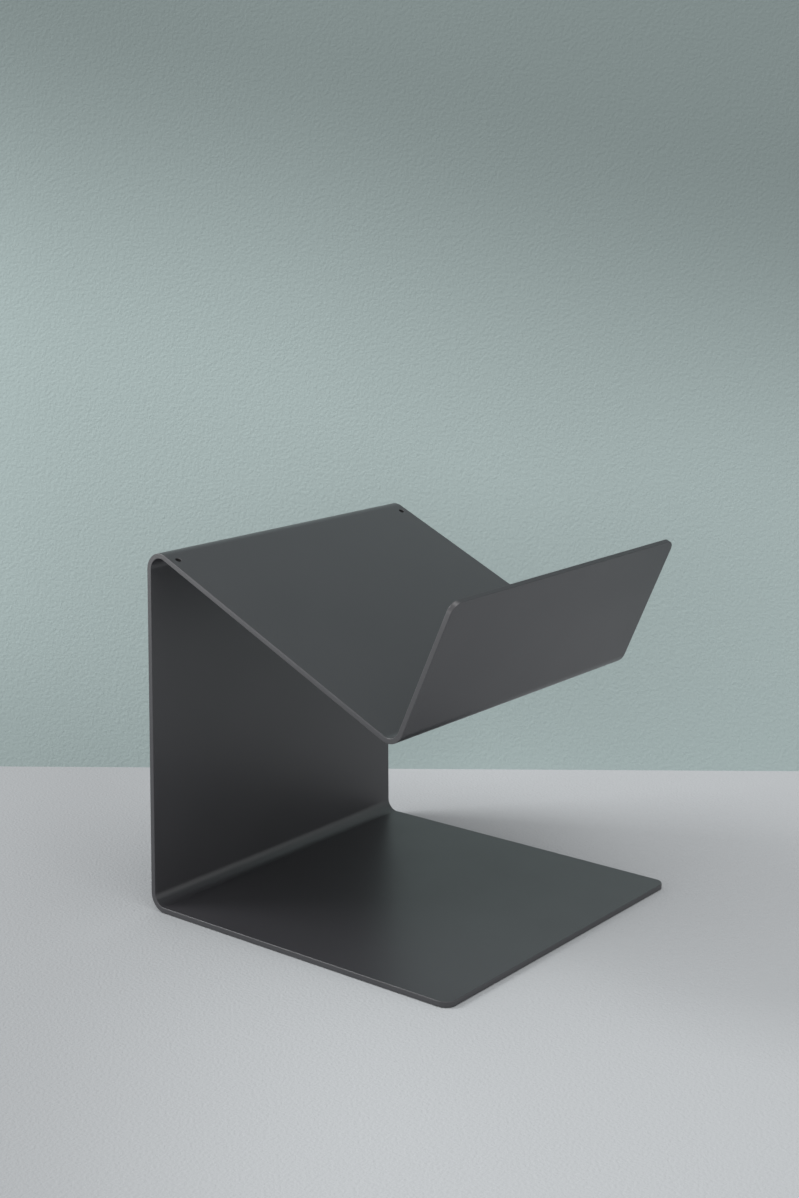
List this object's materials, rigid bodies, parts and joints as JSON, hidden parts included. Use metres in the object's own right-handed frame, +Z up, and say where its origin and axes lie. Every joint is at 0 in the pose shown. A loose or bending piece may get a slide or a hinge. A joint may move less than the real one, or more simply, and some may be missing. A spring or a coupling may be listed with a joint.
{
  "type": "magazine rack",
  "caption": "Low floor rack folded from one thick metal sheet: base plate, upright back, tray that slopes to the front and an upturned flange.",
  "frame": {"origin": "on the floor, under the middle of the rack's overall width and depth", "axes": "+Z up, +Y to the back, so the open front faces -Y; X along the sheet's width"},
  "size_m": [0.355, 0.366, 0.3495],
  "materials": {
    "coated_sheet": "satin fine powder coat, dark grey",
    "glide_pad": "matt"
  },
  "bodies": {
    "root": {"folded_sheet": "coated_sheet", "glide_pad_front_left": "glide_pad", "glide_pad_front_right": "glide_pad", "glide_pad_rear_left": "glide_pad", "glide_pad_rear_right": "glide_pad"}
  },
  "joints": []
}
